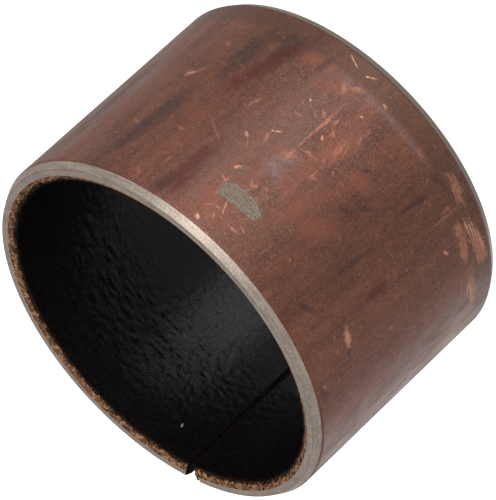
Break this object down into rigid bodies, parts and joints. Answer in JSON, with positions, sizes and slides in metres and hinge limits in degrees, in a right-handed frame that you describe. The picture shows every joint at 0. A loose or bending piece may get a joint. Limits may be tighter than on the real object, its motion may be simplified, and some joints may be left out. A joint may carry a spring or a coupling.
{
  "type": "wrapped plain bearing bush",
  "caption": "Thin split sleeve bearing: copper-flashed steel back, sintered bronze layer and dark polymer bore, with chamfered ends.",
  "frame": {"origin": "centre of the lower end face, on the bore axis", "axes": "+Z along the bore axis, +X through the split in the wall"},
  "size_m": [0.018, 0.018, 0.0122],
  "materials": {
    "copper_plating": "dull, tarnished copper flash with scuffs and stains",
    "steel_backing": "fine turned, bare",
    "sintered_bronze": "granular, porous, cut by turning",
    "polymer_lining": "dark, faintly glossy orange peel"
  },
  "bodies": {
    "root": {"copper_plating": "copper_plating", "steel_backing": "steel_backing", "sintered_bronze_layer": "sintered_bronze", "polymer_lining": "polymer_lining"}
  },
  "joints": []
}
